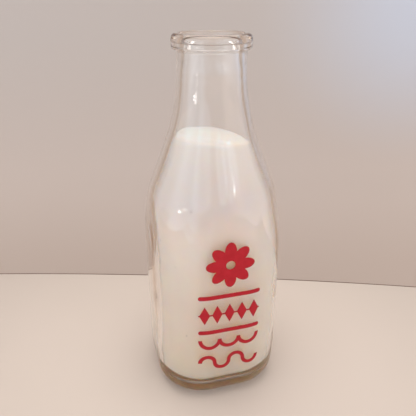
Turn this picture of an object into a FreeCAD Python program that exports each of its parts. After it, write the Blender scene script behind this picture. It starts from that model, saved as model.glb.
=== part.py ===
import FreeCAD, Part
import math
import os

# Sizes in millimetres. +Z is up, the bottle stands on Z = 0 and its printed face looks towards -Y.

# Body
body_side = 88.3
corner_radius = 33.0
wall = 3.5
base_thickness = 7.0
heel_radius = 13.5
inner_heel_radius = 13.0
low_taper_start = 32.0
low_taper_radius = 270.0

# Base
bearing_width = 5.0
push_up_height = 3.0

# Shoulder and neck
neck_radius = 21.4
neck_length = 9.1
neck_blend_radius = 134.0
shoulder_angle = 21.2
shoulder_drop = 74.5
shoulder_blend_radius = 52.0
arch_angle = 10.5

# Finish
bottle_height = 241.0
bead_radius = 24.4
bead_height = 8.9
bead_top_round = 2.9
bead_under_round = 1.6
mouth_round = 1.2
seat_radius = 19.0
seat_depth = 5.2
throat_radius = 16.4
throat_length = 7.0
throat_flare = 9.0

# Filling
filling_gap = 0.6
filling_headspace = 62.2
filling_tilt_side = 6.0
filling_tilt_back = 3.8

# Print, row by row from the lowest up
ink_thickness = 0.18
print_foot = 26.5
row_gap = 5.0
ribbon_thickness = 2.6
wave_count = 4
wave_pitch = 10.0
scallop_count = 3
scallop_pitch = 13.2
bar_inset = 23.15
bar_thickness = 3.0
diamond_count = 5
diamond_pitch = 8.4
diamond_width = 7.0
diamond_tall = 14.0
diamond_line = 1.0
flower_radius = 16.0
petal_count = 8
petal_width = 7.8
eye_radius = 6.0
eye_hole_radius = 3.0

corner_centre = body_side / 2 - corner_radius
shoulder_tilt = math.radians(shoulder_angle)
arch_tilt = math.radians(arch_angle)
bead_foot = bottle_height - bead_height
neck_foot = bead_foot - neck_length
filling_height = bottle_height - filling_headspace
bar_length = body_side - 2 * bar_inset

wave_height = print_foot + (wave_pitch + ribbon_thickness) / 2
scallop_foot = print_foot + wave_pitch + ribbon_thickness + row_gap
scallop_height = scallop_foot + (scallop_pitch + ribbon_thickness) / 2
lower_bar_height = scallop_height + row_gap + bar_thickness / 2
diamond_row_height = lower_bar_height + bar_thickness / 2 + row_gap + diamond_tall / 2
upper_bar_height = diamond_row_height + diamond_tall / 2 + row_gap + bar_thickness / 2
flower_height = upper_bar_height + bar_thickness / 2 + row_gap + flower_radius


def point(across, up):
    return FreeCAD.Vector(across, 0, up)


def line(start, end):
    return Part.LineSegment(start, end).toShape()


def arc(centre, radius, start_angle, end_angle):
    angles = [start_angle, (start_angle + end_angle) / 2, end_angle]
    places = [centre + point(radius * math.cos(a), radius * math.sin(a)) for a in angles]
    return Part.Arc(places[0], places[1], places[2]).toShape()


def joined(edges):
    closed = []
    for index, edge in enumerate(edges):
        closed.append(edge)
        end = edge.Vertexes[-1].Point
        start = edges[(index + 1) % len(edges)].Vertexes[0].Point
        if end.distanceToPoint(start) > 1e-6:
            closed.append(line(end, start))
    return Part.Face(Part.Wire(closed))


def chain(places):
    return [line(a, b) for a, b in zip(places, places[1:])]


# Distance from a corner's centre line to the heel's own centre, for a body drawn in by an inset.
def heel_reach(inset, floor, heel):
    big = low_taper_radius - inset
    rise = low_taper_start - floor - heel
    return corner_radius - low_taper_radius + math.sqrt((big - heel) ** 2 - rise ** 2)


# Square body with round corners and a heel, drawn in from the outside by an inset.
def body(inset, floor, heel):
    big_centre = point(corner_radius - low_taper_radius, low_taper_start)
    reach = heel_reach(inset, floor, heel)
    heel_centre = point(reach, floor + heel)
    turn = math.atan2(heel_centre.z - big_centre.z, heel_centre.x - big_centre.x)
    side = corner_radius - inset
    profile = joined([
        line(point(0, floor), point(reach, floor)),
        arc(heel_centre, heel, -math.pi / 2, turn),
        arc(big_centre, low_taper_radius - inset, turn, 0),
        line(point(side, low_taper_start), point(side, bottle_height)),
        line(point(side, bottle_height), point(0, bottle_height)),
    ])
    corner = profile.revolve(FreeCAD.Vector(0, 0, 0), FreeCAD.Vector(0, 0, 1), 90)
    corner.translate(FreeCAD.Vector(corner_centre, corner_centre, 0))
    flank = profile.extrude(FreeCAD.Vector(0, 2 * corner_centre, 0))
    flank.translate(FreeCAD.Vector(corner_centre, -corner_centre, 0))
    width = 2 * corner_centre
    near = FreeCAD.Vector(-corner_centre, -corner_centre, floor)
    middle = Part.makeBox(width, width, bottle_height - floor, near)
    pieces = []
    for quarter in range(4):
        for piece in (corner, flank):
            turned = piece.copy()
            turned.rotate(FreeCAD.Vector(0, 0, 0), FreeCAD.Vector(0, 0, 1), 90 * quarter)
            pieces.append(turned)
    return middle.fuse(pieces).removeSplitter()


# Round shoulder and neck, drawn in by an inset. The upper edges run from the axis to the neck foot.
def turned_form(inset, upper):
    blend_centre = point(neck_radius + neck_blend_radius, neck_foot)
    cone_radius = neck_radius + neck_blend_radius * (1 - math.cos(shoulder_tilt))
    cone_height = neck_foot - neck_blend_radius * math.sin(shoulder_tilt)
    edge_height = neck_foot - shoulder_drop
    edge_radius = cone_radius + (cone_height - edge_height) * math.tan(shoulder_tilt)
    round_centre = point(
        edge_radius - shoulder_blend_radius * math.cos(shoulder_tilt),
        edge_height - shoulder_blend_radius * math.sin(shoulder_tilt),
    )
    blend = arc(blend_centre, neck_blend_radius + inset, math.pi, math.pi + shoulder_tilt)
    edge = arc(round_centre, shoulder_blend_radius - inset, shoulder_tilt, arch_tilt)
    low = edge.Vertexes[-1].Point
    foot = point(low.x + low.z * math.tan(arch_tilt), 0)
    profile = joined(upper + [blend, edge, line(low, foot), line(foot, point(0, 0))])
    return profile.revolve(FreeCAD.Vector(0, 0, 0), FreeCAD.Vector(0, 0, 1), 360)


# The whole outline without the bead, drawn in by an inset.
def plain_form(inset, floor, heel):
    top = [line(point(0, bottle_height), point(neck_radius - inset, bottle_height))]
    return body(inset, floor, heel).common(turned_form(inset, top))


def bottle():
    top_centre = point(bead_radius - bead_top_round, bottle_height - bead_top_round)
    under_centre = point(bead_radius - bead_under_round, bead_foot + bead_under_round)
    mouth_centre = point(seat_radius + mouth_round, bottle_height - mouth_round)
    finish = [
        line(point(0, bottle_height), point(top_centre.x, bottle_height)),
        arc(top_centre, bead_top_round, math.pi / 2, 0),
        arc(under_centre, bead_under_round, 0, -math.pi / 2),
        line(point(neck_radius, bead_foot), point(neck_radius, neck_foot)),
    ]
    outside = body(0, 0, heel_radius).common(turned_form(0, finish))
    ledge = bottle_height - seat_depth
    throat_foot = ledge - throat_length
    mouth = [
        line(point(0, bottle_height), point(mouth_centre.x, bottle_height)),
        arc(mouth_centre, mouth_round, math.pi / 2, math.pi),
    ]
    mouth += chain([
        point(seat_radius, ledge),
        point(throat_radius, ledge),
        point(throat_radius, throat_foot),
        point(neck_radius - wall, throat_foot - throat_flare),
    ])
    inside = body(wall, base_thickness, inner_heel_radius).common(turned_form(wall, mouth))
    recess_radius = corner_centre + heel_reach(0, 0, heel_radius) - bearing_width
    ball = (recess_radius ** 2 + push_up_height ** 2) / (2 * push_up_height)
    recess = Part.makeSphere(ball, FreeCAD.Vector(0, 0, push_up_height - ball))
    return outside.cut(inside).cut(recess)


def filling():
    mass = plain_form(wall + filling_gap, base_thickness, inner_heel_radius)
    span = 2 * body_side
    air = Part.makeBox(span, span, bottle_height, FreeCAD.Vector(-span / 2, -span / 2, 0))
    air.rotate(FreeCAD.Vector(0, 0, 0), FreeCAD.Vector(0, 1, 0), filling_tilt_side)
    air.rotate(FreeCAD.Vector(0, 0, 0), FreeCAD.Vector(1, 0, 0), -filling_tilt_back)
    air.translate(FreeCAD.Vector(0, 0, filling_height))
    return mass.cut(air)


# A motif is a set of stamps that reach forward from the plane Y = 0 through the front face.
forward = FreeCAD.Vector(0, -body_side, 0)


def disc(radius, across, up):
    return Part.makeCylinder(radius, body_side, point(across, up), forward)


def block(places):
    return Part.Face(Part.Wire(chain(places + places[:1]))).extrude(forward)


def rectangle(left, right, low, high):
    return block([point(left, low), point(right, low), point(right, high), point(left, high)])


def bar(length, thickness, up):
    half = (length - thickness) / 2
    strip = rectangle(-half, half, up - thickness / 2, up + thickness / 2)
    return strip.fuse([disc(thickness / 2, -half, up), disc(thickness / 2, half, up)])


def flower():
    length = flower_radius - eye_hole_radius
    petals = []
    for index in range(petal_count):
        oval = Part.Ellipse(FreeCAD.Vector(0, 0, 0), length / 2, petal_width / 2)
        petal = Part.Face(Part.Wire([oval.toShape()])).extrude(FreeCAD.Vector(0, 0, body_side))
        petal.rotate(FreeCAD.Vector(0, 0, 0), FreeCAD.Vector(1, 0, 0), 90)
        petal.translate(point(eye_hole_radius + length / 2, 0))
        petal.rotate(FreeCAD.Vector(0, 0, 0), FreeCAD.Vector(0, 1, 0), 360 * index / petal_count)
        petal.translate(point(0, flower_height))
        petals.append(petal)
    eye = disc(eye_radius, 0, flower_height)
    return eye.fuse(petals).cut(disc(eye_hole_radius, 0, flower_height))


def diamonds():
    row = []
    for index in range(diamond_count):
        across = (index - (diamond_count - 1) / 2) * diamond_pitch
        row.append(block([
            point(across - diamond_width / 2, diamond_row_height),
            point(across, diamond_row_height - diamond_tall / 2),
            point(across + diamond_width / 2, diamond_row_height),
            point(across, diamond_row_height + diamond_tall / 2),
        ]))
    return bar(bar_length, diamond_line, diamond_row_height).fuse(row)


# Half of a ring, below its centre or above it.
def half_ring(pitch, across, up, above):
    outer = (pitch + ribbon_thickness) / 2
    ring = disc(outer, across, up).cut(disc(outer - ribbon_thickness, across, up))
    low = up if above else up - outer
    return ring.common(rectangle(across - outer, across + outer, low, low + outer))


def scallops():
    row = []
    for index in range(scallop_count):
        across = (index - (scallop_count - 1) / 2) * scallop_pitch
        row.append(half_ring(scallop_pitch, across, scallop_height, False))
    return row[0].fuse(row[1:])


def wave():
    row = []
    for index in range(wave_count):
        across = (index - (wave_count - 1) / 2) * wave_pitch
        row.append(half_ring(wave_pitch, across, wave_height, index % 2 == 0))
    return row[0].fuse(row[1:])


ink_layer = plain_form(-ink_thickness, 0, heel_radius).cut(plain_form(0, 0, heel_radius))


def printed(stamp):
    return ink_layer.common(stamp.removeSplitter()).removeSplitter()


nodes = {
    "bottle": bottle(),
    "filling": filling(),
    "print_flower": printed(flower()),
    "print_upper_bar": printed(bar(bar_length, bar_thickness, upper_bar_height)),
    "print_diamonds": printed(diamonds()),
    "print_lower_bar": printed(bar(bar_length, bar_thickness, lower_bar_height)),
    "print_scallops": printed(scallops()),
    "print_wave": printed(wave()),
}

os.makedirs("parts", exist_ok=True)
for name, shape in nodes.items():
    shape.Solids[0].exportStep("parts/" + name + ".step")
    print(name, len(shape.Solids), shape.isValid(), round(shape.Volume / 1000, 2), "cm3")
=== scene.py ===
import math
import bpy
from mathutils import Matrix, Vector


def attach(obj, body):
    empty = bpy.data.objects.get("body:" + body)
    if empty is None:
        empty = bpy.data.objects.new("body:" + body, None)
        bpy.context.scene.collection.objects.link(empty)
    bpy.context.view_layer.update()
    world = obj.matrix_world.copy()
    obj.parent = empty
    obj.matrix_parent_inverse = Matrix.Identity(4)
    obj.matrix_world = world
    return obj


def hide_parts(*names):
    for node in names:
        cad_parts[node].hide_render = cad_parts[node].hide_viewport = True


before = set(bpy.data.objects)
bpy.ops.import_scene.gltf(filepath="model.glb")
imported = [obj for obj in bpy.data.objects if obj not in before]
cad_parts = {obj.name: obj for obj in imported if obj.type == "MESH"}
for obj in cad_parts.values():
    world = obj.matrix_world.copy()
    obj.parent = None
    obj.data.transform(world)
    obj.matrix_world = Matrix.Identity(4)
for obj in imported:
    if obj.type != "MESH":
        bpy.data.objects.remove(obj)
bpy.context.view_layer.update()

# Sizes of the bottle in millimetres, the same as in the solids
MM = 0.001
SIDE_HALF = 44.15
CORNER_RADIUS = 33.0
CORNER_CENTRE = SIDE_HALF - CORNER_RADIUS
WALL = 3.5
BASE_THICKNESS = 7.0
HEEL_RADIUS = 13.5
INNER_HEEL_RADIUS = 13.0
LOW_TAPER_START = 32.0
LOW_TAPER_RADIUS = 270.0
BEARING_WIDTH = 5.0
PUSH_UP_HEIGHT = 3.0
BOTTLE_HEIGHT = 241.0
NECK_RADIUS = 21.4
NECK_FOOT = 223.0
NECK_BLEND_RADIUS = 134.0
SHOULDER_TILT = math.radians(21.2)
SHOULDER_DROP = 74.5
SHOULDER_BLEND_RADIUS = 52.0
ARCH_TILT = math.radians(10.5)
BEAD_RADIUS = 24.4
BEAD_FOOT = 232.1
BEAD_TOP_ROUND = 2.9
BEAD_UNDER_ROUND = 1.6
MOUTH_ROUND = 1.2
SEAT_RADIUS = 19.0
LEDGE_HEIGHT = 235.8
THROAT_RADIUS = 16.4
THROAT_FOOT = 228.8
THROAT_FLARE_FOOT = 219.8
FILLING_GAP = 0.6
FILLING_HEIGHT = 181.0
FILLING_SLOPE_X = -math.tan(math.radians(6.0))
FILLING_SLOPE_Y = -math.tan(math.radians(3.8))

# Softened edges of the glass and the filling
ARCH_BLEND = 2.2
RECESS_EDGE_START = 0.3
RECESS_EDGE_END = 0.9
RECESS_EDGE_HEIGHT = 0.03
NECK_TOP_ROUND = 1.1
LEDGE_ROUND = 0.3
THROAT_ROUND = 44.0
FLARE_ROUND = 42.0
FILLING_ROUND = 3.5

# The filling is bedded a hair into the floor of the glass
FILLING_LIFT = -0.02

# Sideways shift of the uneven wall, with the heights between which it fades out
CAVITY_SHIFT = 0.8
FILLING_SHIFT = 1.2
LEAN_FOOT = 8.0
LEAN_FOOT_FADE = 30.0
LEAN_TOP = 175.0
LEAN_TOP_FADE = 60.0

# Waves of the glass: their depth, and two crests that cross, each with its turns round the axis,
# its length up the bottle and its start
INNER_WAVES = (
    (0.30, (2, 37.0, 0.6), (0, 23.0, 1.1)),
    (0.12, (5, -19.0, 0.0), (0, 11.0, 2.0)),
)
OUTER_WAVES = (
    (0.05, (3, 5.3, 0.0), (4, -8.0, 0.4)),
)

# Heights between which the waves fade out
CAVITY_TOP = 215.0
INNER_WAVE_FOOT = 22.0
INNER_WAVE_FOOT_FADE = 20.0
INNER_WAVE_TOP_FADE = 24.0
OUTER_WAVE_FOOT = 128.0
OUTER_WAVE_FOOT_FADE = 16.0
OUTER_WAVE_TOP = 228.0
OUTER_WAVE_TOP_FADE = 8.0

# Small ripples in the blown glass: angle round the axis, height, length of one wave and depth
RIPPLES = (
    (math.radians(275.6), 161.0, 4.0, 0.022),
    (math.radians(228.9), 206.5, 4.2, 0.012),
)
RIPPLE_SPREAD = 0.25

# Uneven top of the filling: small bumps, a ridge towards the back and a slight dome
BUMP_HEIGHT = 0.35
BUMP_LENGTH_X = 6.0
BUMP_START_X = 0.7
BUMP_LENGTH_Y = 7.5
BUMP_START_Y = 1.9
RIDGE_HEIGHT = 1.4
RIDGE_MIDDLE = 5.0
RIDGE_WIDTH = 9.0
RIDGE_FADE = 10.0
DOME_FALL = 0.0024
DOME_MIDDLE = -5.0

# Rings of points round the bottle: from one height to the next, in how many steps
SEGMENTS = 240
ANGLES = [2 * math.pi * i / SEGMENTS for i in range(SEGMENTS)]
HEEL_TURN = math.radians(85.0)
HEEL_END = 12.6
INNER_HEEL_END = 19.0
ARCH_FOOT = 104.0
ARCH_TOP = 150.0
NECK_TOP = 229.6
BEAD_BLEND_FOOT = 230.4
OUTER_SPANS = (
    (HEEL_END, LOW_TAPER_START, 8),
    (LOW_TAPER_START, ARCH_FOOT, 16),
    (ARCH_FOOT, ARCH_TOP, 60),
    (ARCH_TOP, NECK_FOOT, 110),
    (NECK_FOOT, NECK_TOP, 3),
)
INNER_SPANS = (
    (CAVITY_TOP, ARCH_TOP, 28),
    (ARCH_TOP, ARCH_FOOT, 32),
    (ARCH_FOOT, LOW_TAPER_START, 16),
    (LOW_TAPER_START, INNER_HEEL_END, 4),
)

# Rings of the ends: from one share of the full radius to another, in how many steps
PUSH_UP_SHARES = (0.08, 0.97, 11)
FLOOR_SHARES = (1.0, 0.08, 10)
FILLING_FLOOR_SHARES = (0.1, 1.0, 6)
FILLING_TOP_SHARES = (1.0, 0.04, 20)


# Plain geometry of the bottle's outline

def heel_reach(inset, floor, heel):
    rise = LOW_TAPER_START - floor - heel
    big = LOW_TAPER_RADIUS - inset
    return CORNER_RADIUS - LOW_TAPER_RADIUS + math.sqrt((big - heel) ** 2 - rise ** 2)


def corner_reach(z, inset, floor, heel):
    big_centre = CORNER_RADIUS - LOW_TAPER_RADIUS
    big = LOW_TAPER_RADIUS - inset
    if z >= LOW_TAPER_START:
        return CORNER_RADIUS - inset
    reach = heel_reach(inset, floor, heel)
    turn = math.atan2(floor + heel - LOW_TAPER_START, reach - big_centre)
    if z >= LOW_TAPER_START + big * math.sin(turn):
        return big_centre + math.sqrt(big ** 2 - (LOW_TAPER_START - z) ** 2)
    return reach + math.sqrt(max(heel ** 2 - (floor + heel - z) ** 2, 0.0))


def turned_radius(z, inset):
    if z >= NECK_FOOT:
        return NECK_RADIUS - inset
    cone_height = NECK_FOOT - NECK_BLEND_RADIUS * math.sin(SHOULDER_TILT)
    cone_radius = NECK_RADIUS + NECK_BLEND_RADIUS * (1 - math.cos(SHOULDER_TILT))
    edge_height = NECK_FOOT - SHOULDER_DROP
    edge_radius = cone_radius + (cone_height - edge_height) * math.tan(SHOULDER_TILT)
    round_x = edge_radius - SHOULDER_BLEND_RADIUS * math.cos(SHOULDER_TILT)
    round_z = edge_height - SHOULDER_BLEND_RADIUS * math.sin(SHOULDER_TILT)
    blend = NECK_BLEND_RADIUS + inset
    if z >= NECK_FOOT - blend * math.sin(SHOULDER_TILT):
        return NECK_RADIUS + NECK_BLEND_RADIUS - math.sqrt(blend ** 2 - (NECK_FOOT - z) ** 2)
    edge = SHOULDER_BLEND_RADIUS - inset
    if z >= round_z + edge * math.sin(SHOULDER_TILT):
        return edge_radius - inset / math.cos(SHOULDER_TILT) + (edge_height - z) * math.tan(SHOULDER_TILT)
    if z >= round_z + edge * math.sin(ARCH_TILT):
        return round_x + math.sqrt(edge ** 2 - (z - round_z) ** 2)
    low = round_x + edge * math.cos(ARCH_TILT)
    return low + (round_z + edge * math.sin(ARCH_TILT) - z) * math.tan(ARCH_TILT)


def square_radius(angle, reach):
    across = abs(math.cos(angle))
    along = abs(math.sin(angle))
    flat = (CORNER_CENTRE + reach) / max(across, along)
    if min(flat * across, flat * along) <= CORNER_CENTRE:
        return flat
    middle = CORNER_CENTRE * (across + along)
    return middle + math.sqrt(max(middle ** 2 - 2 * CORNER_CENTRE ** 2 + reach ** 2, 0.0))


def soft_least(a, b, width):
    overlap = max(width - abs(a - b), 0.0) / width
    return min(a, b) - overlap * overlap * width / 4


def outline_radius(angle, z, inset, floor, heel):
    square = square_radius(angle, corner_reach(z, inset, floor, heel))
    return soft_least(turned_radius(z, inset), square, ARCH_BLEND)


def steps(first, last, count):
    return [first + (last - first) * i / count for i in range(count + 1)]


def span_heights(spans):
    heights = [spans[0][0]]
    for first, last, count in spans:
        heights += steps(first, last, count)[1:]
    return heights


def heel_heights(floor, heel, turns):
    return [floor + heel * (1 - math.cos(turn)) for turn in turns]


def clamped(value):
    return min(1.0, max(0.0, value))


# Meshes

def smooth_piece(name, points, faces):
    mesh = bpy.data.meshes.new(name)
    mesh.from_pydata(points, [], faces)
    mesh.polygons.foreach_set("use_smooth", [True] * len(mesh.polygons))
    mesh.update()
    piece = bpy.data.objects.new(name, mesh)
    bpy.context.scene.collection.objects.link(piece)
    return piece


# Mesh from rings of points, closed by a pole at each end
def ring_mesh(name, rings, first_pole, last_pole):
    count = len(rings[0])
    points = [p for ring_points in rings for p in ring_points]
    faces = []
    for row in range(len(rings) - 1):
        low = row * count
        high = low + count
        for i in range(count):
            j = (i + 1) % count
            faces.append((low + i, low + j, high + j, high + i))
    first = len(points)
    last = first + 1
    points += [first_pole, last_pole]
    top = (len(rings) - 1) * count
    for i in range(count):
        j = (i + 1) % count
        faces.append((first, j, i))
        faces.append((last, top + i, top + j))
    return smooth_piece(name, [Vector(p) * MM for p in points], faces)


# Share of the sideways shift of the uneven wall at a height
def lean(z):
    return clamped((LEAN_TOP - z) / LEAN_TOP_FADE) * clamped((z - LEAN_FOOT) / LEAN_FOOT_FADE)


def ring(radius_at, height_at, shift=0.0):
    points = []
    for angle in ANGLES:
        z = height_at(angle)
        r = radius_at(angle, z)
        points.append((r * math.cos(angle) + shift * lean(z), r * math.sin(angle), z))
    return points


def level_ring(radius_at, z, shift=0.0):
    return ring(radius_at, lambda angle: z, shift)


def round_ring(radius, z):
    return level_ring(lambda angle, height: radius, z)


def square_ring(share, reach, z):
    return level_ring(lambda angle, height: share * square_radius(angle, reach), z)


# Corners of a turned profile, each given its own rounding
def rounded_profile(corners, arc_steps=5):
    path = [corners[0][:2]]
    for before, here, after in zip(corners, corners[1:], corners[2:]):
        rounding = here[2]
        at = Vector(here[:2])
        back = (Vector(before[:2]) - at).normalized()
        on = (Vector(after[:2]) - at).normalized()
        half = math.acos(max(-1.0, min(1.0, back.dot(on)))) / 2
        reach = rounding / math.tan(half)
        centre = at + (back + on).normalized() * rounding / math.sin(half)
        start = at + back * reach - centre
        end = at + on * reach - centre
        turn = start.angle_signed(end)
        for i in range(arc_steps + 1):
            share = turn * i / arc_steps
            c = math.cos(share)
            s = math.sin(share)
            path.append((centre.x + start.x * c + start.y * s, centre.y - start.x * s + start.y * c))
    path.append(corners[-1][:2])
    return path


def crest(angle, z, turns, length, start):
    return math.sin(turns * angle + z / length + start)


def crossing_waves(angle, z, waves):
    return sum(depth * (crest(angle, z, *one) * crest(angle, z, *other)) for depth, one, other in waves)


# Slow and quick waves on the inside of the wall
def inner_wave(angle, z):
    low_fade = clamped((z - INNER_WAVE_FOOT) / INNER_WAVE_FOOT_FADE)
    high_fade = clamped((CAVITY_TOP - z) / INNER_WAVE_TOP_FADE)
    return low_fade * high_fade * crossing_waves(angle, z, INNER_WAVES)


def local_ripple(angle, z, middle_angle, middle_height, length, depth):
    rise = (z - middle_height) / length
    aside = (angle - middle_angle) / RIPPLE_SPREAD
    return depth * math.sin(2 * math.pi * rise) * math.exp(-rise ** 2 - aside ** 2)


# Faint waves and ripples on the outside, above the print and below the bead
def outer_wave(angle, z):
    low_fade = clamped((z - OUTER_WAVE_FOOT) / OUTER_WAVE_FOOT_FADE)
    high_fade = clamped((OUTER_WAVE_TOP - z) / OUTER_WAVE_TOP_FADE)
    ripples = sum(local_ripple(angle, z, *place) for place in RIPPLES)
    return low_fade * high_fade * (crossing_waves(angle, z, OUTER_WAVES) + ripples)


def outer_radius(angle, z):
    return outline_radius(angle, z, 0.0, 0.0, HEEL_RADIUS) + outer_wave(angle, z)


def inner_radius(angle, z):
    return outline_radius(angle, z, WALL, BASE_THICKNESS, INNER_HEEL_RADIUS) + inner_wave(angle, z)


def glass_bottle():
    foot_reach = heel_reach(0.0, 0.0, HEEL_RADIUS)
    floor_reach = heel_reach(WALL, BASE_THICKNESS, INNER_HEEL_RADIUS)
    recess = CORNER_CENTRE + foot_reach - BEARING_WIDTH
    ball = (recess ** 2 + PUSH_UP_HEIGHT ** 2) / (2 * PUSH_UP_HEIGHT)

    def bearing_middle(angle, z):
        return (square_radius(angle, foot_reach) + recess + RECESS_EDGE_END) / 2

    # Push-up and bearing ring under the base
    rings = []
    for share in steps(*PUSH_UP_SHARES):
        r = recess * share
        rings.append(round_ring(r, PUSH_UP_HEIGHT - ball + math.sqrt(ball ** 2 - r ** 2)))
    rings.append(round_ring(recess + RECESS_EDGE_START, RECESS_EDGE_HEIGHT))
    rings.append(round_ring(recess + RECESS_EDGE_END, 0.0))
    rings.append(level_ring(bearing_middle, 0.0))

    # Outside, from the heel up to the neck
    outer = heel_heights(0.0, HEEL_RADIUS, steps(0.0, HEEL_TURN, count=14))
    rings += [level_ring(outer_radius, z) for z in outer + span_heights(OUTER_SPANS)]

    # Bead, cap seat and throat
    finish = rounded_profile([
        (NECK_RADIUS, BEAD_BLEND_FOOT, 0.0),
        (NECK_RADIUS, BEAD_FOOT, NECK_TOP_ROUND),
        (BEAD_RADIUS, BEAD_FOOT, BEAD_UNDER_ROUND),
        (BEAD_RADIUS, BOTTLE_HEIGHT, BEAD_TOP_ROUND),
        (SEAT_RADIUS, BOTTLE_HEIGHT, MOUTH_ROUND),
        (SEAT_RADIUS, LEDGE_HEIGHT, LEDGE_ROUND),
        (THROAT_RADIUS, LEDGE_HEIGHT, LEDGE_ROUND),
        (THROAT_RADIUS, THROAT_FOOT, THROAT_ROUND),
        (NECK_RADIUS - WALL, THROAT_FLARE_FOOT, FLARE_ROUND),
        (NECK_RADIUS - WALL, CAVITY_TOP, 0.0),
    ])
    rings += [round_ring(r, z) for r, z in finish[:-1]]

    # Inside, from the neck down to the floor
    inner_heel = heel_heights(BASE_THICKNESS, INNER_HEEL_RADIUS, steps(HEEL_TURN, 0.0, count=12)[:-1])
    inner = span_heights(INNER_SPANS) + inner_heel
    rings += [level_ring(inner_radius, z, CAVITY_SHIFT) for z in inner]
    rings += [square_ring(share, floor_reach, BASE_THICKNESS) for share in steps(*FLOOR_SHARES)]
    return ring_mesh("glass_bottle", rings, (0, 0, PUSH_UP_HEIGHT), (0, 0, BASE_THICKNESS))


# Dry white filling with a sloping, slightly uneven top

def filling_radius(angle, z):
    return outline_radius(angle, z, WALL + FILLING_GAP, BASE_THICKNESS + FILLING_LIFT, INNER_HEEL_RADIUS)


def filling_top(x, y):
    bump_x = math.sin(x / BUMP_LENGTH_X + BUMP_START_X)
    bump_y = math.sin(y / BUMP_LENGTH_Y + BUMP_START_Y)
    bumps = BUMP_HEIGHT * bump_x * bump_y
    ridge = RIDGE_HEIGHT * math.exp(-((x - RIDGE_MIDDLE) / RIDGE_WIDTH) ** 2)
    ridge = ridge * (0.5 + 0.5 * math.tanh(y / RIDGE_FADE))
    dome = DOME_FALL * (x - DOME_MIDDLE) ** 2
    return FILLING_HEIGHT + FILLING_SLOPE_X * x + FILLING_SLOPE_Y * y + (ridge - dome) + bumps


# Radius and height of the filling's rim at each angle, found by closing in on the sloping top
def filling_rim(tries=12):
    rim = {}
    for angle in ANGLES:
        z = FILLING_HEIGHT
        for _ in range(tries):
            r = filling_radius(angle, z)
            z = filling_top(r * math.cos(angle), r * math.sin(angle))
        rim[angle] = (r, z)
    return rim


def white_filling():
    rim = filling_rim()
    floor = BASE_THICKNESS + FILLING_LIFT
    floor_reach = heel_reach(WALL + FILLING_GAP, floor, INNER_HEEL_RADIUS)
    low = floor + INNER_HEEL_RADIUS

    # Floor, heel and side up to the rounded rim
    rings = [square_ring(share, floor_reach, floor) for share in steps(*FILLING_FLOOR_SHARES)]
    heel = heel_heights(floor, INNER_HEEL_RADIUS, steps(0.0, HEEL_TURN, count=10)[1:])
    rings += [level_ring(filling_radius, z, FILLING_SHIFT) for z in heel]
    for share in steps(0.0, 1.0, count=60)[1:]:

        def side_height(angle):
            return low + share * (rim[angle][1] - FILLING_ROUND - low)

        rings.append(ring(filling_radius, side_height, FILLING_SHIFT))

    # Rounded rim and the top inside it
    for a in steps(0.0, math.pi / 2, count=9)[1:]:
        inset = FILLING_ROUND * (1 - math.cos(a))
        drop = FILLING_ROUND * (1 - math.sin(a))
        rings.append(ring(lambda angle, z: rim[angle][0] - inset, lambda angle: rim[angle][1] - drop))
    for share in steps(*FILLING_TOP_SHARES)[1:]:
        top = []
        for angle in ANGLES:
            r = share * (rim[angle][0] - FILLING_ROUND)
            x = r * math.cos(angle)
            y = r * math.sin(angle)
            top.append((x, y, filling_top(x, y)))
        rings.append(top)
    return ring_mesh("white_filling", rings, (0, 0, floor), (0, 0, filling_top(0, 0)))


# Camera's place in millimetres, seen from the bottle
YAW = math.radians(15.69)
CAMERA_BACK = 297.48
CAMERA_HEIGHT = 262.93
CAMERA_PITCH = math.radians(24.44)
CAMERA_ASIDE = 2.193
CAMERA_NEAR = 0.01
FOCAL_PIXELS = 476.0
FRAME_PIXELS = 416.0
SENSOR = 36.0
LIGHT_BOUNCES = 64

# Directions of the picture: to its right, away into it and upward
ACROSS = (math.cos(YAW), -math.sin(YAW), 0.0)
AWAY = (math.sin(YAW), math.cos(YAW), 0.0)
UP = (0.0, 0.0, 1.0)


def from_camera_axes(across, away, up):
    x = across * math.cos(YAW) + away * math.sin(YAW)
    y = -across * math.sin(YAW) + away * math.cos(YAW)
    return Vector((x, y, up)) * MM


# Stage in millimetres: table top, table edge and wall
STAGE_REACH = 700.0
STAGE_COLUMNS = 56
TABLE_TOP = -0.05
TABLE_THICKNESS = 25.0
TABLE_BACK = 112.56
TABLE_BACK_SLANT = 0.0596
TABLE_BACK_BOW = 0.000163
EDGE_SHADE = 0.8
WALL_REACH = 1000.0
WALL_BACK = 420.0
WALL_FOOT = -420.0
WALL_TOP = 500.0
# Middle of the painted patch of cool daylight on the wall
PAINTED_DAYLIGHT_CORNER = (300.0, WALL_BACK, 260.0)

# Spans in metres over which the painted light and shade of a surface change
FILLING_PAINTED_LIGHT_SPAN = (0.0, 0.18)
FILLING_PAINTED_TOP_SPAN = (0.1755, 0.179)
FILLING_PAINTED_CAST_SPAN = (-0.02, 0.065)
FILLING_PAINTED_CAST_RISE = 0.3
TABLE_PAINTED_LIGHT_FALL = (0.05, 0.30)
TABLE_PAINTED_FRONT_SPAN = (-0.10, -0.26)
TABLE_PAINTED_FRONT_GAIN = (1.0, 1.9)
WALL_PAINTED_LIGHT_SPAN = (-0.16, 0.44)
PAINTED_DAYLIGHT_REACH = (0.0, 0.26)

WHITE = (1.0, 1.0, 1.0)


# Materials

def new_material(name):
    material = bpy.data.materials.new(name)
    material.use_nodes = True
    tree = material.node_tree
    return material, tree, tree.nodes["Principled BSDF"]


def place_in(tree, space="Object"):
    return tree.nodes.new("ShaderNodeTexCoord").outputs[space]


def vector_measure(tree, operation, place, other):
    made = tree.nodes.new("ShaderNodeVectorMath")
    made.operation = operation
    made.inputs[1].default_value = other
    tree.links.new(place, made.inputs[0])
    return made.outputs["Value"]


def reach_along(tree, place, direction):
    return vector_measure(tree, "DOT_PRODUCT", place, direction)


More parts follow.
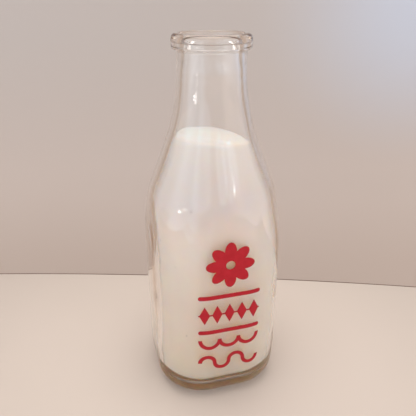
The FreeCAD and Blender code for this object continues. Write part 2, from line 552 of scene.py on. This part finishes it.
def distance_from(tree, place, point):
    return vector_measure(tree, "DISTANCE", place, point)


def absolute(tree, value):
    made = tree.nodes.new("ShaderNodeMath")
    made.operation = "ABSOLUTE"
    tree.links.new(value, made.inputs[0])
    return made.outputs["Value"]


# Change of a value over one span, carried over to another and held at its ends
def mapped(tree, value, span, carried=(0.0, 1.0), kind="SMOOTHSTEP"):
    made = tree.nodes.new("ShaderNodeMapRange")
    made.interpolation_type = kind
    made.inputs["From Min"].default_value = span[0]
    made.inputs["From Max"].default_value = span[1]
    made.inputs["To Min"].default_value = carried[0]
    made.inputs["To Max"].default_value = carried[1]
    tree.links.new(value, made.inputs["Value"])
    return made.outputs["Result"]


def noise(tree, scale, detail=3.0):
    texture = tree.nodes.new("ShaderNodeTexNoise")
    texture.inputs["Scale"].default_value = scale
    texture.inputs["Detail"].default_value = detail
    tree.links.new(place_in(tree), texture.inputs["Vector"])
    return texture.outputs["Fac"]


# Colours along a value, given as stops in rising order
def ramp(tree, value, stops):
    made = tree.nodes.new("ShaderNodeValToRGB")
    elements = made.color_ramp.elements
    for element, (place, colour) in zip(elements, (stops[0], stops[-1])):
        element.position = place
        element.color = (*colour, 1.0)
    for place, colour in stops[1:-1]:
        elements.new(place).color = (*colour, 1.0)
    tree.links.new(value, made.inputs["Fac"])
    return made.outputs["Color"]


# Colour multiplied by each layer in turn
def layered(tree, colour, *layers):
    for layer in layers:
        made = tree.nodes.new("ShaderNodeMix")
        made.data_type = "RGBA"
        made.blend_type = "MULTIPLY"
        made.inputs["Factor"].default_value = 1.0
        tree.links.new(colour, made.inputs["A"])
        tree.links.new(layer, made.inputs["B"])
        colour = made.outputs["Result"]
    return colour


def bump(tree, value, strength, depth):
    made = tree.nodes.new("ShaderNodeBump")
    made.inputs["Strength"].default_value = strength
    made.inputs["Distance"].default_value = depth
    tree.links.new(value, made.inputs["Height"])
    return made.outputs["Normal"]


# Clear glass with a faint warm tint where it is thick
def glass_material():
    material, tree, shader = new_material("clear_glass")
    shader.inputs["Base Color"].default_value = (*WHITE, 1.0)
    shader.inputs["Roughness"].default_value = 0.0
    shader.inputs["IOR"].default_value = 1.5
    shader.inputs["Transmission Weight"].default_value = 1.0
    depth = tree.nodes.new("ShaderNodeVolumeAbsorption")
    depth.inputs["Color"].default_value = (0.7, 0.5, 0.3, 1.0)
    depth.inputs["Density"].default_value = 9.0
    tree.links.new(depth.outputs["Volume"], tree.nodes["Material Output"].inputs["Volume"])
    return material


# The filling's colour carries painted light and shade: painted warm bounce light low down, painted shade
# greying it under its painted bright top, and a painted cooler cast of light towards the right
def filling_material():
    material, tree, shader = new_material("white_filling")
    place = place_in(tree)
    # Painted light and shade up the side: warm painted bounce light near the foot, painted shade on the
    # shoulder
    rise = mapped(tree, reach_along(tree, place, UP), FILLING_PAINTED_LIGHT_SPAN, kind="LINEAR")
    painted_height_shading = ramp(tree, rise, [
        (0.041, (0.98, 0.80, 0.63)),
        (0.055, (0.985, 0.725, 0.565)),
        (0.2, (0.98, 0.77, 0.64)),
        (0.6, (0.975, 0.815, 0.73)),
        (0.70, (0.92, 0.785, 0.715)),
        (0.80, (0.755, 0.675, 0.65)),
        (0.955, (0.765, 0.70, 0.67)),
    ])
    # Painted light: the top is painted brighter, as where light from above falls on it
    level = reach_along(tree, place, (-FILLING_SLOPE_X, -FILLING_SLOPE_Y, 1.0))
    painted_top_light = tree.nodes.new("ShaderNodeMix")
    painted_top_light.data_type = "RGBA"
    painted_top_light.inputs["B"].default_value = (0.999, 0.825, 0.735, 1.0)
    tree.links.new(mapped(tree, level, FILLING_PAINTED_TOP_SPAN), painted_top_light.inputs["Factor"])
    tree.links.new(painted_height_shading, painted_top_light.inputs["A"])
    # Painted light: a warmer cast of light painted on the left and a cooler one on the right
    slant = reach_along(tree, place, (ACROSS[0], ACROSS[1], FILLING_PAINTED_CAST_RISE))
    painted_cast_share = mapped(tree, slant, FILLING_PAINTED_CAST_SPAN, kind="LINEAR")
    painted_cast = ramp(tree, painted_cast_share, [(0.0, (1.0, 0.955, 0.93)), (1.0, (1.01, 1.025, 1.045))])
    cloud = ramp(tree, noise(tree, scale=60.0), [(0.35, (0.98, 0.975, 0.97)), (0.65, WHITE)])
    speck = tree.nodes.new("ShaderNodeTexVoronoi")
    speck.inputs["Scale"].default_value = 60.0
    tree.links.new(place, speck.inputs["Vector"])
    dirt = ramp(tree, speck.outputs["Distance"], [(0.028, (0.62, 0.58, 0.54)), (0.042, WHITE)])
    # Painted light and shade, multiplied by the filling's own cloudy tone and dirt specks
    painted_light_and_dirt = layered(tree, painted_top_light.outputs["Result"], painted_cast, cloud, dirt)
    tree.links.new(painted_light_and_dirt, shader.inputs["Base Color"])
    shader.inputs["Roughness"].default_value = 0.8
    shader.inputs["Subsurface Weight"].default_value = 1.0
    shader.inputs["Subsurface Radius"].default_value = (1.0, 0.75, 0.5)
    shader.inputs["Subsurface Scale"].default_value = 0.065
    grain = bump(tree, noise(tree, scale=900.0, detail=2.0), strength=0.15, depth=0.0004)
    tree.links.new(grain, shader.inputs["Normal"])
    return material


def enamel_material():
    material, tree, shader = new_material("red_enamel")
    reds = [(0.3, (0.33, 0.006, 0.014)), (0.7, (0.39, 0.010, 0.020))]
    tree.links.new(ramp(tree, noise(tree, scale=350.0), reds), shader.inputs["Base Color"])
    shader.inputs["Roughness"].default_value = 0.38
    shader.inputs["Specular IOR Level"].default_value = 0.2
    grain = bump(tree, noise(tree, scale=1400.0), strength=0.12, depth=0.0002)
    tree.links.new(grain, shader.inputs["Normal"])
    return material


# The table top carries painted light: a painted pool of light a little lighter in the middle, and painted
# light lighter again towards the front
def table_material():
    material, tree, shader = new_material("table_top")
    place = place_in(tree)
    # Painted pool of light round the bottle, fading darker farther out, and painted light towards the
    # front
    fall = mapped(tree, distance_from(tree, place, (0.0, 0.0, 0.0)), TABLE_PAINTED_LIGHT_FALL)
    middle = ramp(tree, fall, [(0.0, WHITE), (1.0, (0.79, 0.79, 0.79))])
    painted_front_light = mapped(tree, reach_along(tree, place, AWAY), TABLE_PAINTED_FRONT_SPAN, TABLE_PAINTED_FRONT_GAIN)
    tones = [(0.3, (0.557, 0.484, 0.425)), (0.7, (0.577, 0.499, 0.44))]
    grain = ramp(tree, noise(tree, scale=6.0), tones)
    tree.links.new(layered(tree, grain, middle, painted_front_light), shader.inputs["Base Color"])
    shader.inputs["Roughness"].default_value = 0.7
    return material


# The line of shade along the table's back edge
def edge_material():
    material, _, shader = new_material("edge_shade")
    shader.inputs["Base Color"].default_value = (0.2, 0.14, 0.11, 1.0)
    shader.inputs["Roughness"].default_value = 0.8
    return material


# The wall's colour carries painted light and shade: painted a little warmer and lighter towards its foot,
# painted shade high up, painted cooler in the upper right corner as if lit by daylight, and painted shade
# far out at both sides, where only the glass shows it
def wall_material():
    material, tree, shader = new_material("plain_wall")
    place = place_in(tree)
    rise = mapped(tree, reach_along(tree, place, UP), WALL_PAINTED_LIGHT_SPAN, kind="LINEAR")
    # Painted light and shade up the wall: lighter near the foot, darker high up
    painted_height_light = ramp(tree, rise, [
        (0.0, (0.495, 0.39, 0.33)),
        (0.28, (0.505, 0.41, 0.358)),
        (0.60, (0.472, 0.408, 0.374)),
        (0.78, (0.466, 0.408, 0.379)),
        (1.0, (0.36, 0.315, 0.295)),
    ])
    # Painted light: a patch of cool daylight painted into the upper right corner
    corner = distance_from(tree, place, from_camera_axes(*PAINTED_DAYLIGHT_CORNER))
    painted_daylight = tree.nodes.new("ShaderNodeMix")
    painted_daylight.data_type = "RGBA"
    painted_daylight.inputs["A"].default_value = (0.51, 0.523, 0.59, 1.0)
    tree.links.new(mapped(tree, corner, PAINTED_DAYLIGHT_REACH), painted_daylight.inputs["Factor"])
    tree.links.new(painted_height_light, painted_daylight.inputs["B"])
    # Painted shade far out at both sides of the wall
    aside = absolute(tree, reach_along(tree, place, ACROSS))
    shade = ramp(tree, aside, [(0.36, WHITE), (0.42, (0.83, 0.74, 0.64))])
    tree.links.new(layered(tree, painted_daylight.outputs["Result"], shade), shader.inputs["Base Color"])
    shader.inputs["Roughness"].default_value = 0.7
    return material


# Pieces

def give(piece, material):
    piece.data.materials.clear()
    piece.data.materials.append(material)


glass = glass_bottle()
give(glass, glass_material())
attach(glass, "root")
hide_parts("bottle")

filling = white_filling()
give(filling, filling_material())
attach(filling, "root")
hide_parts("filling")

enamel = enamel_material()
for name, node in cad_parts.items():
    if name.startswith("print_"):
        give(node, enamel)


# Stage: a pale table top against a plain wall

# The table's back edge bows towards the camera at its ends
def back_edge(across):
    return TABLE_BACK - TABLE_BACK_SLANT * across - TABLE_BACK_BOW * across * across


def stage_strip(name, first_row, second_row, material):
    count = len(first_row)
    points = [from_camera_axes(*p) for p in first_row + second_row]
    faces = [(i, i + 1, count + i + 1, count + i) for i in range(count - 1)]
    piece = smooth_piece(name, points, faces)
    give(piece, material)


columns = steps(-STAGE_REACH, STAGE_REACH, STAGE_COLUMNS)
wall_columns = steps(-WALL_REACH, WALL_REACH, STAGE_COLUMNS)
front_row = [(x, -STAGE_REACH, TABLE_TOP) for x in columns]
back_row = [(x, back_edge(x), TABLE_TOP) for x in columns]
shade_row = [(x, back_edge(x), TABLE_TOP + EDGE_SHADE) for x in columns]
under_row = [(x, back_edge(x), TABLE_TOP - TABLE_THICKNESS) for x in columns]
wall_foot_row = [(x, WALL_BACK, WALL_FOOT) for x in wall_columns]
wall_top_row = [(x, WALL_BACK, WALL_TOP) for x in wall_columns]
table = table_material()
stage_strip("table", front_row, back_row, table)
stage_strip("table_edge", back_row, under_row, table)
stage_strip("table_edge_shade", back_row, shade_row, edge_material())
stage_strip("wall", wall_foot_row, wall_top_row, wall_material())

# Light

WARM = (1.0, 0.935, 0.895)
COOL = (0.6, 0.82, 1.0)
NEUTRAL = (0.93, 0.94, 0.95)

# Soft patches of light in the room: the way to each, the angles of its rim and its middle in degrees,
# its strength at the rim and in the middle, and its colour
PATCHES = (
    ((-40, 0, 950), 101.5, 0.0, 0.48, 0.88, WARM),
    ((-40, 150, 950), 40.0, 8.0, 0.0, 2.2, WARM),
    ((960, -250, 60), 50.0, 10.0, 0.0, 0.95, WARM),
    ((-960, -150, 60), 40.0, 10.0, 0.0, 0.65, NEUTRAL),
    ((200, -900, -50), 70.0, 10.0, 0.0, 0.45, WARM),
    ((-780, -620, 40), 36.0, 18.0, 0.0, 1.2, COOL),
    ((-320, -880, 340), 20.0, 14.0, 0.0, 0.7, COOL),
    ((340, -840, 423), 12.0, 8.0, 0.0, 0.9, COOL),
    ((545, -724, 423), 12.0, 8.0, 0.0, 0.9, COOL),
    ((714, -558, 423), 12.0, 8.0, 0.0, 0.9, COOL),
    ((-777, -629, 22), 1.5, 0.6, 0.0, 10.0, WHITE),
    ((-819, -574, 9), 2.4, 1.2, 0.0, 20.0, WHITE),
    ((690, -690, 290), 1.2, 0.6, 0.0, 16.0, WHITE),
)


def soft_patch(tree, toward, rim, middle, low, high, colour):
    turn = reach_along(tree, place_in(tree, "Generated"), from_camera_axes(*toward).normalized())
    span = (math.cos(math.radians(rim)), math.cos(math.radians(middle)))
    glow = tree.nodes.new("ShaderNodeBackground")
    glow.inputs["Color"].default_value = (*colour, 1.0)
    tree.links.new(mapped(tree, turn, span, (low, high)), glow.inputs["Strength"])
    return glow.outputs["Background"]


world = bpy.data.worlds.new("room")
bpy.context.scene.world = world
world.use_nodes = True
sky = world.node_tree
room = soft_patch(sky, *PATCHES[0])
for patch in PATCHES[1:]:
    both = sky.nodes.new("ShaderNodeAddShader")
    sky.links.new(room, both.inputs[0])
    sky.links.new(soft_patch(sky, *patch), both.inputs[1])
    room = both.outputs["Shader"]
sky.links.new(room, sky.nodes["World Output"].inputs["Surface"])

# Camera

camera_data = bpy.data.cameras.new("camera")
camera_data.sensor_width = SENSOR
camera_data.lens = FOCAL_PIXELS / FRAME_PIXELS * SENSOR
camera_data.clip_start = CAMERA_NEAR
camera = bpy.data.objects.new("camera", camera_data)
bpy.context.scene.collection.objects.link(camera)
camera.location = from_camera_axes(-CAMERA_ASIDE, -CAMERA_BACK, CAMERA_HEIGHT)
camera.rotation_euler = (math.pi / 2 - CAMERA_PITCH, 0, -YAW)
bpy.context.scene.camera = camera
bpy.context.scene.view_settings.view_transform = "Standard"
bpy.context.scene.cycles.max_bounces = LIGHT_BOUNCES
bpy.context.scene.cycles.transmission_bounces = LIGHT_BOUNCES
bpy.context.scene.cycles.glossy_bounces = LIGHT_BOUNCES
